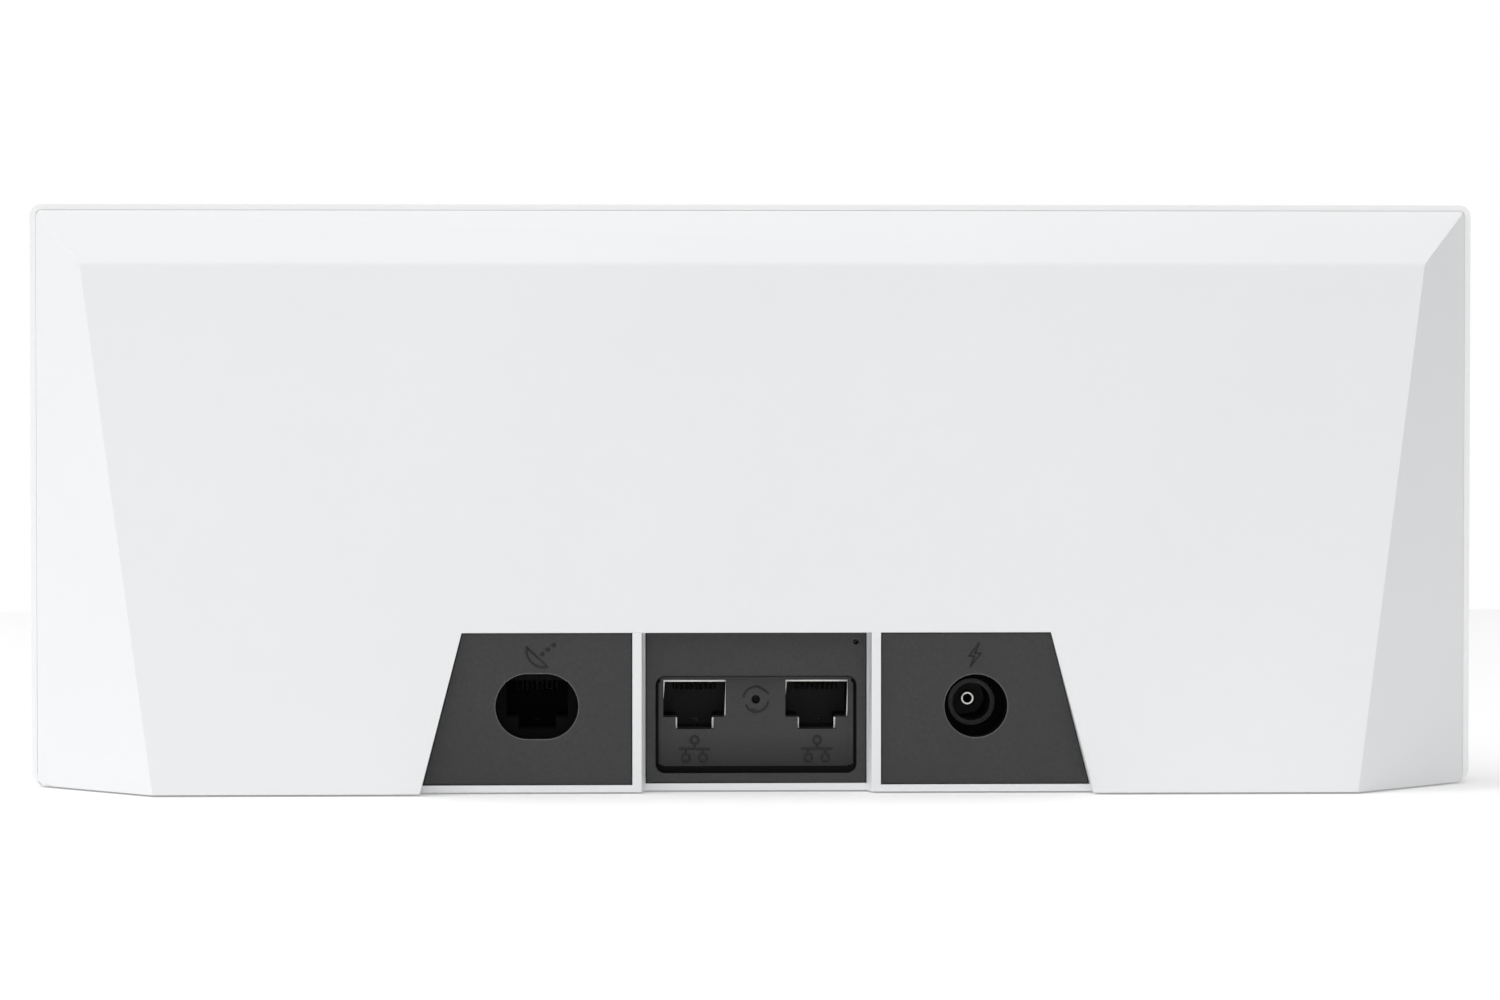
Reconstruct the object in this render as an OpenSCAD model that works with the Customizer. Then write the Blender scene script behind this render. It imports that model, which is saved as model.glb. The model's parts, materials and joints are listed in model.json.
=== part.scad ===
// Wireless router that stands on its lower edge: a flat front cover, a faceted rear housing that grows
// thicker towards the table, and a bay with four sockets in its back.
// +X runs along the width, the sockets face -Y, +Z is up, and the origin is under the middle of the base.
// Places along the depth are given as d, the distance behind the flat front face.

/* [Body] */
// Width across the front cover
body_w = 298.5; // [240:0.5:370]
// Height from the table to the top edge
body_h = 120.4; // [98:0.1:150]
// Depth from the front face to the lower rear edge
body_d = 43.4; // [41:0.1:56]
// Depth of the straight sides of the front cover
cover_d = 17.5; // [14.5:0.1:21]
// Depth at the top edge of the sloping rear face
rear_top_d = 27.5; // [25:0.1:34]
// Distance from the top edge down to the sloping rear face
rear_top_drop = 12.4; // [9:0.1:16]
// Angle of the side bevels, from straight back
side_bevel = 45; // [36:0.5:50]
// Radius of the cover's four corners
corner_r = 2.4; // [2:0.1:5]
// Rounding round the cover's front edge
front_round = 1.6; // [0.5:0.1:1.9]
// Wall of the rear housing
wall = 2.4; // [2:0.1:3]
// Wall of the front cover
cover_wall = 2.5; // [2.5:0.1:3.5]
// Width of the cover's rim that shows round the housing
rim = 1.2; // [1:0.05:1.3]

/* [Port bay] */
// Height of the bay's top edge above the table
bay_top = 33; // [31:0.1:40]
// Half width of the bay at its top edge
bay_half = 59.9; // [57:0.1:75]
// Lean of the bay's two sides
bay_lean = 14.5; // [0:0.5:20]
// Outer side of each rib, from the middle
rib_x = 25.3; // [25:0.1:27]
// Width of each rib
rib_w = 1.9; // [1.4:0.1:2.4]
// Height of the lip under the panels
lip_h = 1.4; // [1.1:0.1:1.9]
// How far the two outer panels lie behind the ribs
panel_set = 0.6; // [0.3:0.1:1]
// How far the middle panel's niche goes in behind the ribs
niche_d = 4; // [3.3:0.1:5]
// Thickness of the panels
panel_t = 2; // [1.6:0.1:2.4]
// Depth of the rounded well round the two network sockets
well_d = 2; // [1.6:0.1:2.4]

/* [Sockets] */
// Height of the middle of all the sockets
socket_z = 17.8; // [16.5:0.1:19]
// Distance of the two network sockets from the middle
network_x = 12.5; // [12.4:0.1:13]
// Distance of the dish and power sockets from the middle
outer_x = 44.7; // [40:0.1:50]
// Width of a network socket's mouth
mouth_w = 12.8; // [12.4:0.1:13.4]
// Height of the mouth's wide upper part
mouth_h = 7.5; // [7:0.1:7.8]
// Width of the slot for the plug's catch
catch_w = 7.8; // [6.5:0.1:9.4]
// Height of the slot for the plug's catch
catch_h = 2.5; // [2:0.1:3]
// Length of a network jack, from the board
jack_len = 13.6; // [13:0.1:14.6]
// Width of the well over the dish socket
dish_w = 16.8; // [15.5:0.1:20]
// Height of the well over the dish socket
dish_h = 13.2; // [12.4:0.1:15.6]
// Radius of the well for the power plug
power_r = 6.4; // [5.6:0.05:7.7]
// Radius of the power jack's bore
power_bore_r = 3.8; // [3:0.05:4.4]
// Depth of the power jack's bore
power_bore_len = 17.4; // [15:0.1:18]
// Radius of the power jack's pin
power_pin_r = 1.5; // [1.2:0.05:1.8]

/* [Reset button] */
// Radius of the pinhole
pinhole_r = 0.85; // [0.7:0.05:1.1]
// Radius of the plunger
plunger_r = 1.6; // [1.4:0.05:1.9]
// Travel of the plunger
reset_travel = 0.4; // [0.25:0.05:0.5]

/* [Inside] */
// Thickness of the circuit board
board_t = 1.6; // [1.2:0.1:2]
// Thickness of the heat sink's plate
sink_t = 3; // [2.4:0.1:3.6]
// Number of cooling fins
fin_count = 24; // [16:1:30]
// Height of an antenna
antenna_h = 38; // [30:1:40]
// Diameter of an antenna lead
lead_dia = 1.13; // [0.9:0.01:1.4]
// Radius of the screws' shanks
screw_r = 1.5; // [1.2:0.05:1.6]
// How far the feet stand out below the base
foot_h = 0.4; // [0.3:0.05:0.6]

/* [Hidden] */
$fn = 48;

gap = 0.12;                     // clearance between parts that seat in each other
far = 200;                      // longer than any cut has to reach

// Shells
base_z = foot_h;                // underside of the shells
floor_z = base_z + wall;        // top of the housing's floor
lap = 5;                        // length of the joint where the housing slides into the cover
seal_t = 1.5;                   // length of the seal at the bottom of that joint
skirt_out = rim + gap;          // outer side of the housing's skirt, in from the cover's outside
skirt_in = skirt_out + 2;
ridge_d = cover_d - 2.2;        // middle of the snap ridges on the skirt
ridge_len = 10;
ridge_h = 0.5;
ridge_xs = [for (i = [-2 : 2]) i * body_w / 5.6];
ridge_zs = [body_h * 0.28, body_h * 0.72];
foot_in = 0.6;                  // how deep the feet sit in the shells
foot_len = 20;
foot_w = 7;

// Rear form and port bay
top_slope = (rear_top_drop - rim) / (rear_top_d - cover_d);
rear_slope = (body_d - rear_top_d) / (body_h - rear_top_drop - base_z);
function rear_depth(z) = body_d - rear_slope * (z - base_z);
function bay_edge(z) = bay_half + (bay_top - z) * tan(bay_lean);
bay_d = rear_depth(bay_top);    // the bay's upright plane, which meets the rear face at the bay's top
window_top = bay_top - 0.2;
lip_z = base_z + lip_h;
panel_d = bay_d - panel_set;
niche_draft = 0.2;              // how far a niche side leans in, for each millimetre of depth
niche_half = rib_x - rib_w - niche_d * niche_draft;
middle_d = bay_d - niche_d - 0.4;
frame_d = middle_d - panel_t;   // back of the white frame round the panels
well_floor = middle_d - well_d;
back_d = well_floor - 1.5;      // back of the panels' flanges
flange_w = 1.6;
panel_edge = 1.8;               // rim left round an outer panel's hollow back
rib_mid = rib_x - rib_w / 2;
well_x = network_x + mouth_w / 2 + 1.6;
well_low = socket_z - 13.9;
well_high = socket_z + 5.9;
well_r = 1.9;
vent_x = niche_half - 2.2;
vent_z = window_top - 2.1;

// Sockets
gasket_t = 0.9;
jack_d = back_d - gasket_t;     // front of the three network jacks
board_back = jack_d - jack_len; // the board's face towards the sockets
board_front = board_back - board_t;
mouth_top = socket_z + (mouth_h + catch_h) / 2;
jack_w = mouth_w + 3;
jack_h = mouth_h + catch_h + 3.4;
jack_z = mouth_top + 1.5 - jack_h / 2;
shield_t = 0.3;
shield_in = 0.2;                // how far the shield shows inside the panel's mouth
cavity_d = 11.2;                // depth of the hole for the plug
pin_pitch = 1.02;
roof_z = mouth_top - 0.1;
power_front = jack_d - 4.1;
shelf_t = 1;
neck_r = power_bore_r + 1.2;
power_shoulder = power_front - shelf_t - gasket_t;
power_box = 2 * neck_r + 1.6;
power_tip = power_front - 11;   // tip of the jack's pin, far down the bore
power_end = power_front - power_bore_len;

// Reset button
reset_z = socket_z + 1;
sleeve_end = back_d - 6;
sleeve_r = plunger_r + 0.06;
switch_top = board_back + 2.6;
stem_top = switch_top + 0.9;
stem_r = 1.1;

// Board, heat sink, light pipe and antennas
board_half = body_w / 2 - 29;
board_low = base_z + 3.8;
board_high = body_h - 14.4;
sink_half = board_half - 12;
sink_low = bay_top - 2;
sink_high = board_high - 2;
sink_tall = sink_high - sink_low;
sink_middle = (sink_low + sink_high) / 2;
chip_t = 1.5;
pad_t = 1;
sink_back = board_front - chip_t - pad_t;
sink_front = sink_back - sink_t;
fin_t = 1.2;
fin_end = cover_wall + 0.8;
processor = [0, 0.5, 20, 20];       // x, share of the heat sink's height, width, height
memories = [[-19, 0.66, 9, 13], [19, 0.66, 9, 13]];
radios = [[-62, 0.5, 12, 12], [62, 0.5, 12, 12]];
switcher = [-34, 0.32, 14, 14];
led_z = 12;
pipe_r = 1.2;
boss_r = screw_r + 1.7;
head_r = screw_r + 1.2;
head_h = 1.9;
bite = 0.05;                        // clearance round a screw in its boss
board_screws_at = [
    for (x = [board_half - 5, bay_edge(10) + 9], side = [-1, 1]) [side * x, board_low + 5],
    for (side = [-1, 1]) [side * (board_half - 5), board_high - 5]];
sink_screws_at = [for (x = [5 - sink_half, 0, sink_half - 5], z = [sink_low + 5, sink_high - 5]) [x, z]];
antenna_x = body_w / 2 - 15;
antenna_w = 16;
antenna_d = cover_wall + 4.5;
antenna_t = 0.8;
antenna_lows = [body_h / 2 + 6, base_z + 12];
post_r = 2.2;
stake_r = 0.9;
lead_d = board_back + 1.2;
lead_bend = 3;
lead_x = antenna_x - 4;
plug_x = board_half - 7;
plug_w = 4.5;

function y_at(d) = body_d / 2 - d;

// ---- Helpers ----

// Prism between two depths: its outline is drawn in x and z
module across(d1, d2) {
    translate([0, y_at(d1), 0]) rotate([90, 0, 0]) linear_extrude(d2 - d1) children();
}

// Prism across the width: its outline is drawn in -d and z
module along_x(x, width) {
    translate([x - width / 2, y_at(0), 0]) rotate([90, 0, 90]) linear_extrude(width) children();
}

// Upright prism: its outline is drawn in x and -d
module upright(low, high) {
    translate([0, y_at(0), low]) linear_extrude(high - low) children();
}

// Round bar between two depths
module bar(at, r, d1, d2) {
    translate([at[0], y_at(d1), at[1]]) rotate([90, 0, 0]) cylinder(r = r, h = d2 - d1);
}

// Block between two depths, given its middle in x and z
module block(x, z, w, h, d1, d2) {
    translate([x - w / 2, y_at(d2), z - h / 2]) cube([w, d2 - d1, h]);
}

// Rectangle with round corners, given its lowest and highest corners
module round_rect(x1, z1, x2, z2, r) {
    translate([x1 + r, z1]) square([x2 - x1 - 2 * r, z2 - z1]);
    translate([x1, z1 + r]) square([x2 - x1, z2 - z1 - 2 * r]);
    for (x = [x1 + r, x2 - r], z = [z1 + r, z2 - r])
        translate([x, z]) circle(r);
}

// Two half circles joined by straight sides
module stadium(w, h) {
    square([w - h, h], center = true);
    for (side = [-1, 1])
        translate([side * (w - h) / 2, 0]) circle(h / 2);
}

// Outline of the front cover, moved in by inset
module cover_outline(inset) {
    round_rect(-body_w / 2 + inset, base_z + inset, body_w / 2 - inset, body_h - inset,
        max(corner_r - inset, 0.4));
}

// The rear form: the side bevels, the top bevel and the sloping rear face, each moved in by inset
module rear_form(inset, low) {
    k_side = inset / cos(side_bevel);
    k_top = inset * sqrt(1 + top_slope * top_slope);
    k_rear = inset * sqrt(1 + rear_slope * rear_slope);
    half = body_w / 2 - rim - k_side;
    taper = tan(side_bevel) * (body_d - cover_d);
    high = body_h - rim - k_top;
    intersection() {
        upright(0, body_h)
            polygon([[-half, -cover_d], [half, -cover_d], [half - taper, -body_d], [taper - half, -body_d]]);
        along_x(0, body_w)
            polygon([[-cover_d, low], [-cover_d, high],
                [-body_d, high - top_slope * (body_d - cover_d)], [-body_d, low]]);
        along_x(0, body_w)
            polygon([[far, low], [far, body_h],
                [k_rear - rear_depth(body_h), body_h], [k_rear - rear_depth(low), low]]);
    }
}

// The bay's outline, grown by grow; it runs on past the sloping face
module bay_outline(grow, high) {
    low = base_z - 1;
    shift = grow / cos(bay_lean);
    polygon([
        [-bay_edge(low) - shift, low], [bay_edge(low) + shift, low],
        [bay_edge(high) + shift, high], [-bay_edge(high) - shift, high]]);
}

// One outer opening of the bay, from x1 to the leaning side, which is moved in by inset
module outer_window(side, x1, low, high, inset) {
    shift = inset / cos(bay_lean);
    polygon([
        [side * x1, low], [side * (bay_edge(low) - shift), low],
        [side * (bay_edge(high) - shift), high], [side * x1, high]]);
}

// Upright rectangle, the same on both sides of the middle
module middle_window(half, low, high) {
    translate([-half, low]) square([2 * half, high - low]);
}

// Mouth of a network socket, wide above and narrow below for the plug's catch; the two parts overlap
module mouth(x, grow) {
    translate([x - mouth_w / 2 - grow, mouth_top - mouth_h - grow])
        square([mouth_w + 2 * grow, mouth_h + 2 * grow]);
    translate([x - catch_w / 2 - grow, mouth_top - mouth_h - catch_h - grow])
        square([catch_w + 2 * grow, catch_h + 2 * grow + 1]);
}

// Snap ridges round the skirt, or with grow the pockets for them in the cover
module ridges(grow) {
    w = ridge_len + 2 * grow;
    h = 2 * (ridge_h + grow);
    deep = 0.6 + grow;
    for (x = ridge_xs, z = [base_z + skirt_out, body_h - skirt_out])
        block(x, z, w, h, ridge_d - deep, ridge_d + deep);
    for (side = [-1, 1], z = ridge_zs)
        block(side * (body_w / 2 - skirt_out), z, h, w, ridge_d - deep, ridge_d + deep);
}

// Feet, or with grow the recesses for them
module feet(grow) {
    for (side = [-1, 1], at = [[bay_edge(base_z) + 18, -body_d * 0.76], [body_w / 2 - 30, -9]])
        upright(grow > 0 ? -1 : 0, base_z + foot_in)
            translate([side * at[0], at[1]]) stadium(foot_len + 2 * grow, foot_w + 2 * grow);
}

// ---- Shells ----

module front_cover() {
    color("whitesmoke") difference() {
        union() {
            difference() {
                hull() for (x = [-1, 1], z = [base_z + corner_r, body_h - corner_r])
                    translate([x * (body_w / 2 - corner_r), y_at(0), z])
                        rotate([90, 0, 0]) corner_post();
                across(cover_wall, far) cover_outline(cover_wall);
                across(cover_d - lap, far) cover_outline(rim);
                ridges(gap);
            }
            for (at = board_screws_at)
                bar(at, boss_r, cover_wall - 0.5, board_front);
            for (side = [-1, 1], low = antenna_lows, z = [4, antenna_h - 4]) {
                bar([side * antenna_x, low + z], post_r, cover_wall - 0.5, antenna_d);
                bar([side * antenna_x, low + z], stake_r, antenna_d - 1, antenna_d + antenna_t + 0.6);
            }
        }
        for (at = board_screws_at)
            bar(at, screw_r + bite, cover_wall + 2, board_front + 1);
        bar([0, led_z], pipe_r + gap, -1, far);
        feet(gap);
    }
}

// One corner of the cover, a post whose front edge is rounded
module corner_post() {
    rotate_extrude($fn = 32)
        polygon([
            [0, 0],
            for (a = [90 : -15 : 0])
                [corner_r - front_round * (1 - cos(a)), front_round * (1 - sin(a))],
            [corner_r, cover_d],
            [0, cover_d]]);
}

// The whole rear shell, from which the housing and the frame round the ports are cut
module rear_shell() {
    difference() {
        union() {
            intersection() {
                rear_form(0, base_z);
                across(cover_d, far)
                    round_rect(-body_w / 2 + skirt_out, base_z, body_w / 2 - skirt_out,
                        body_h - skirt_out, max(corner_r - skirt_out, 0.4));
            }
            across(cover_d - lap + seal_t, cover_d) cover_outline(skirt_out);
            ridges(0);
        }
        difference() {
            union() {
                rear_form(wall, floor_z);
                across(cover_d - lap, cover_d + 0.2) cover_outline(skirt_in);
            }
            port_block();
        }
        across(bay_d, far) bay_outline(0, bay_top + wall);
        upright(base_z - 1, window_top) {
            polygon([
                [-niche_half, niche_d - bay_d], [niche_half, niche_d - bay_d],
                [niche_half + niche_d * niche_draft, -bay_d], [niche_half + niche_d * niche_draft, -far],
                [-niche_half - niche_d * niche_draft, -far], [-niche_half - niche_d * niche_draft, -bay_d]]);
        }
        across(frame_d - 1, far) middle_window(niche_half, lip_z, window_top);
        for (side = [-1, 1])
            across(frame_d - 1, far) outer_window(side, rib_x, lip_z, window_top, 0);
        feet(gap);
    }
}

// The space that the frame fills, out to the housing's walls round the bay
module port_block() {
    across(frame_d, far) bay_outline(wall, bay_top + wall);
}

module rear_housing() {
    color("whitesmoke") difference() {
        rear_shell();
        port_block();
    }
}

// The bay's walls, ribs and lip, welded into the housing
module port_frame() {
    color("whitesmoke") intersection() {
        rear_shell();
        port_block();
    }
}

module cover_seal() {
    color("dimgray") across(cover_d - lap, cover_d - lap + seal_t) difference() {
        cover_outline(skirt_out);
        cover_outline(cover_wall);
    }
}

module rubber_feet() {
    color("gray") feet(0);
}

// ---- Port panels ----

// An outer panel: a plate with a hollow back and a flange behind the frame
module outer_panel(side) {
    difference() {
        union() {
            across(frame_d - 0.01, panel_d)
                outer_window(side, rib_x + gap, lip_z + gap, window_top - gap, gap);
            across(back_d, frame_d - 0.01)
                outer_window(side, rib_mid + gap / 2, floor_z + gap, window_top + flange_w, -flange_w);
        }
        across(back_d - 1, panel_d - panel_t)
            outer_window(side, rib_x + panel_edge, floor_z + panel_edge, window_top - panel_edge,
                panel_edge);
    }
}

module dish_port_panel() {
    color([0.24, 0.24, 0.24]) difference() {
        union() {
            outer_panel(-1);
            across(back_d, panel_d - panel_t + 0.5)
                translate([-outer_x, socket_z]) stadium(dish_w + 3, dish_h + 3);
        }
        across(back_d + 1.5, far) translate([-outer_x, socket_z]) stadium(dish_w, dish_h);
        across(back_d - 1, far) mouth(-outer_x, 0);
    }
}

module power_port_panel() {
    color([0.24, 0.24, 0.24]) difference() {
        union() {
            outer_panel(1);
            bar([outer_x, socket_z], power_r + 1.5, power_front - shelf_t, panel_d - panel_t + 0.5);
        }
        bar([outer_x, socket_z], power_r, power_front, far);
        bar([outer_x, socket_z], neck_r + gap, power_front - 2 * shelf_t, power_front + 1);
    }
}

module ethernet_port_panel() {
    color([0.24, 0.24, 0.24]) difference() {
        union() {
            across(frame_d - 0.01, middle_d)
                middle_window(niche_half - gap, lip_z + gap, window_top - gap);
            across(back_d, frame_d - 0.01)
                middle_window(rib_mid - gap / 2, floor_z + gap, window_top + flange_w);
            bar([0, reset_z], sleeve_r + 1.2, sleeve_end, back_d + 0.5);
        }
        across(well_floor, far) round_rect(-well_x, well_low, well_x, well_high, well_r);
        for (side = [-1, 1])
            across(back_d - 1, far) mouth(side * network_x, 0);
        bar([0, reset_z], pinhole_r, back_d - 1, far);
        bar([0, reset_z], sleeve_r, sleeve_end - 1, back_d);
        bar([vent_x, vent_z], 0.5, back_d - 1, far);
    }
}

module jack_gaskets() {
    color("black") for (x = [-outer_x, -network_x, network_x])
        difference() {
            block(x, jack_z, jack_w, jack_h, jack_d, back_d);
            across(jack_d - 1, back_d + 1) mouth(x, 0.3);
        }
}

module power_jack_gasket() {
    color("black") difference() {
        bar([outer_x, socket_z], neck_r + 1.4, power_shoulder, power_front - shelf_t);
        bar([outer_x, socket_z], neck_r + gap, power_shoulder - 1, power_front);
    }
}

module vent_membrane() {
    color("white") bar([vent_x, vent_z], 1.8, back_d - 0.3, back_d);
}

// ---- Sockets ----

module jack_shield(x) {
    color("silver") difference() {
        block(x, jack_z, jack_w, jack_h, board_back, jack_d);
        block(x, jack_z, jack_w - 2 * shield_t, jack_h - 2 * shield_t, board_back - 1, jack_d - shield_t);
        across(jack_d - 1, jack_d + 1) mouth(x, -shield_in);
    }
}

module jack_body(x) {
    margin = 2 * (shield_t + gap);
    color([0.12, 0.12, 0.12]) difference() {
        block(x, jack_z, jack_w - margin, jack_h - margin, board_back, jack_d - shield_t - gap);
        across(jack_d - cavity_d, jack_d) mouth(x, -0.1);
        for (i = [0 : 7])
            block(x + (i - 3.5) * pin_pitch, roof_z - 0.35, 0.6, 2.3, board_back - 1, jack_d - 1.5);
    }
}

// Eight spring wires that run along the roof and fold back down into the hole
module jack_contacts(x) {
    low = roof_z + 0.1;
    high = roof_z + 0.4;
    bend = jack_d - 2.4;
    tip = jack_d - 9.6;
    color("gold") for (i = [0 : 7])
        along_x(x + (i - 3.5) * pin_pitch, 0.36)
            polygon([[-board_back, high], [-board_back, low], [0.9 - bend, low], [-tip, low - 2.5],
                [-tip - 0.1, low - 2.85], [-bend, low - 0.05], [-bend - 0.2, (low + high) / 2],
                [-bend, high]]);
}

module ethernet_jack_left_shield() { jack_shield(-network_x); }
module ethernet_jack_left_body() { jack_body(-network_x); }
module ethernet_jack_left_contacts() { jack_contacts(-network_x); }
module ethernet_jack_right_shield() { jack_shield(network_x); }
module ethernet_jack_right_body() { jack_body(network_x); }
module ethernet_jack_right_contacts() { jack_contacts(network_x); }
module dish_jack_shield() { jack_shield(-outer_x); }
module dish_jack_body() { jack_body(-outer_x); }
module dish_jack_contacts() { jack_contacts(-outer_x); }

module power_jack_body() {
    at = [outer_x, socket_z];
    color([0.12, 0.12, 0.12]) difference() {
        union() {
            block(outer_x, socket_z, power_box + 2, power_box + 2, board_back, power_shoulder);
            block(outer_x, socket_z, power_box, power_box, power_end - 1.5, board_back + 0.5);
            bar(at, neck_r, power_shoulder - 1, power_front);
        }
        bar(at, power_bore_r, power_end, far);
        block(outer_x, socket_z - power_bore_r - 0.3, 2.4, 1.4, power_end - 2, power_tip + 3);
    }
}

module power_jack_pin() {
    at = [outer_x, socket_z];
    color("silver") difference() {
        bar(at, power_pin_r, power_end, power_tip);
        bar(at, power_pin_r / 2, power_tip - 3, far);
    }
}

module power_jack_spring() {
    color("silver")
        block(outer_x, socket_z - power_bore_r - 0.4, 1.8, 0.4, power_end - 2, power_tip + 2);
}

// ---- Reset button ----

module reset_plunger() {
    color("gray") union() {
        bar([0, reset_z], plunger_r, stem_top, back_d - 0.6);
        bar([0, reset_z], plunger_r + 0.9, sleeve_end - 1.3, sleeve_end - 0.1);
    }
}

module reset_switch_stem() {
    color("gray") bar([0, reset_z], stem_r, switch_top - 0.9, stem_top);
}

module reset_switch_body() {
    color("black") difference() {
        block(0, reset_z, 6, 6, board_back, switch_top);
        bar([0, reset_z], stem_r + 0.08, switch_top - 1.2 - reset_travel, far);
    }
}

// ---- Board and what is on it ----

module main_board() {
    color("darkgreen") difference() {
        block(0, (board_low + board_high) / 2, 2 * board_half, board_high - board_low,
            board_front, board_back);
        for (at = concat(board_screws_at, sink_screws_at))
            bar(at, screw_r + gap, board_front - 1, board_back + 1);
        block(outer_x, socket_z, power_box + 2 * gap, power_box + 2 * gap, board_front - 1, board_back + 1);
    }
}

// A chip behind the heat sink, from its x, share of the sink's height, width and height
module chip(spot, trim, d1, d2) {
    block(spot[0], sink_low + spot[1] * sink_tall, spot[2] - trim, spot[3] - trim, d1, d2);
}

module processor_chip() {
    color("silver") chip(processor, 0, board_front - chip_t, board_front);
}

module memory_chips() {
    color("black") for (spot = memories)
        chip(spot, 0, board_front - chip_t, board_front);
}

module radio_chips() {
    color("black") for (spot = radios)
        chip(spot, 0, board_front - chip_t, board_front);
}

module switch_chip() {
    color("black") chip(switcher, 0, board_front - chip_t, board_front);
}

module thermal_pads() {
    color("lightblue") for (spot = concat([processor, switcher], memories, radios))
        chip(spot, 1, sink_back, board_front - chip_t);
}

module radio_shields() {
    color("silver") for (x = [-66, 0, 66])
        difference() {
            block(x, sink_middle, 36, 28, board_back, board_back + 3);
            block(x, sink_middle, 35.4, 27.4, board_back - 1, board_back + 2.7);
        }
}

module network_transformers() {
    color("black") for (x = [-outer_x, -network_x, network_x])
        block(x, bay_top, 12, 9, board_back, board_back + 5.5);
}

module power_inductors() {
    color("dimgray") for (i = [-1 : 1])
        block(outer_x - 6 + 12 * i, bay_top + 2, 10, 10, board_back, board_back + 5);
}

module capacitors() {
    color("lightgray") for (i = [0 : 3])
        bar([outer_x + 18 + 10 * i, socket_z + 1], 4, board_back, board_back + 9);
}

module heat_sink() {
    step = (2 * sink_half - fin_t) / (fin_count - 1);
    color("lightgray") difference() {
        union() {
            block(0, sink_middle, 2 * sink_half, sink_tall, sink_front, sink_back);
            for (i = [0 : fin_count - 1])
                block(-sink_half + fin_t / 2 + i * step, sink_middle, fin_t, sink_tall, fin_end,
                    sink_front + 0.5);
            for (at = sink_screws_at)
                bar(at, boss_r, sink_back - 0.5, board_front);
        }
        for (at = sink_screws_at)
            bar(at, screw_r + bite, sink_front + 0.6, board_front + 1);
    }
}

// A screw whose head bears on the board's back face
module screw(at, end) {
    difference() {
        union() {
            bar(at, screw_r, end, board_back + 0.5);
            bar(at, head_r, board_back, board_back + head_h);
        }
        for (turn = [[0.6, 2.8], [2.8, 0.6]])
            block(at[0], at[1], turn[0], turn[1], board_back + head_h - 1, board_back + head_h + 1);
    }
}

module heat_sink_screws() {
    color("silver") for (at = sink_screws_at)
        screw(at, sink_front + 0.9);
}

module board_screws() {
    color("silver") for (at = board_screws_at)
        screw(at, cover_wall + 2.5);
}

module status_led() {
    color("ivory") block(0, led_z, 3, 2.4, board_front - 1, board_front);
}

module light_pipe() {
    color("white") union() {
        bar([0, led_z], pipe_r, 0, board_front - 1.3);
        bar([0, led_z], pipe_r + 1.2, cover_wall, cover_wall + 1);
    }
}

// ---- Antennas ----

module antenna(side, low) {
    middle = low + antenna_h / 2;
    x = side * antenna_x;
    color("goldenrod") difference() {
        block(x, middle, antenna_w, antenna_h, antenna_d, antenna_d + antenna_t);
        for (z = [4, antenna_h - 4])
            bar([x, low + z], stake_r + gap, antenna_d - 1, antenna_d + 2);
        block(x + side * 3, middle, 1.2, antenna_h - 16, antenna_d - 1, antenna_d + 2);
        block(x + side * 5.5, middle + 7, 6.2, 1.2, antenna_d - 1, antenna_d + 2);
    }
}

module antenna_left_upper() { antenna(-1, antenna_lows[0]); }
module antenna_left_lower() { antenna(-1, antenna_lows[1]); }
module antenna_right_upper() { antenna(1, antenna_lows[0]); }
module antenna_right_lower() { antenna(1, antenna_lows[1]); }

// Leads that come straight back from an antenna and turn in to a plug on the board
module antenna_leads() {
    start = antenna_d + antenna_t;
    color("black") for (side = [-1, 1], low = antenna_lows) {
        z = low + antenna_h / 2;
        bar([side * lead_x, z], lead_dia / 2, start, lead_d - lead_bend);
        translate([side * (lead_x - lead_bend), y_at(lead_d - lead_bend), z])
            rotate([0, 0, side > 0 ? -90 : 180])
                rotate_extrude(angle = 90) translate([lead_bend, 0]) circle(d = lead_dia, $fn = 24);
        translate([side * (plug_x + plug_w / 2), y_at(lead_d), z])
            rotate([0, side * 90, 0])
                cylinder(d = lead_dia, h = lead_x - lead_bend - plug_x - plug_w / 2);
    }
}

module antenna_plugs() {
    color("gold") for (side = [-1, 1], low = antenna_lows)
        block(side * plug_x, low + antenna_h / 2, plug_w, 3, board_back, board_back + 2.2);
}

front_cover();
rear_housing();
port_frame();
cover_seal();
dish_port_panel();
ethernet_port_panel();
power_port_panel();
jack_gaskets();
power_jack_gasket();
vent_membrane();
main_board();
heat_sink();
thermal_pads();
processor_chip();
memory_chips();
radio_chips();
switch_chip();
radio_shields();
network_transformers();
power_inductors();
capacitors();
ethernet_jack_left_shield();
ethernet_jack_left_body();
ethernet_jack_left_contacts();
ethernet_jack_right_shield();
ethernet_jack_right_body();
ethernet_jack_right_contacts();
dish_jack_shield();
dish_jack_body();
dish_jack_contacts();
power_jack_body();
power_jack_pin();
power_jack_spring();
reset_plunger();
reset_switch_body();
reset_switch_stem();
antenna_left_upper();
antenna_left_lower();
antenna_right_upper();
antenna_right_lower();
antenna_leads();
antenna_plugs();
status_led();
light_pipe();
heat_sink_screws();
board_screws();
rubber_feet();
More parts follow.
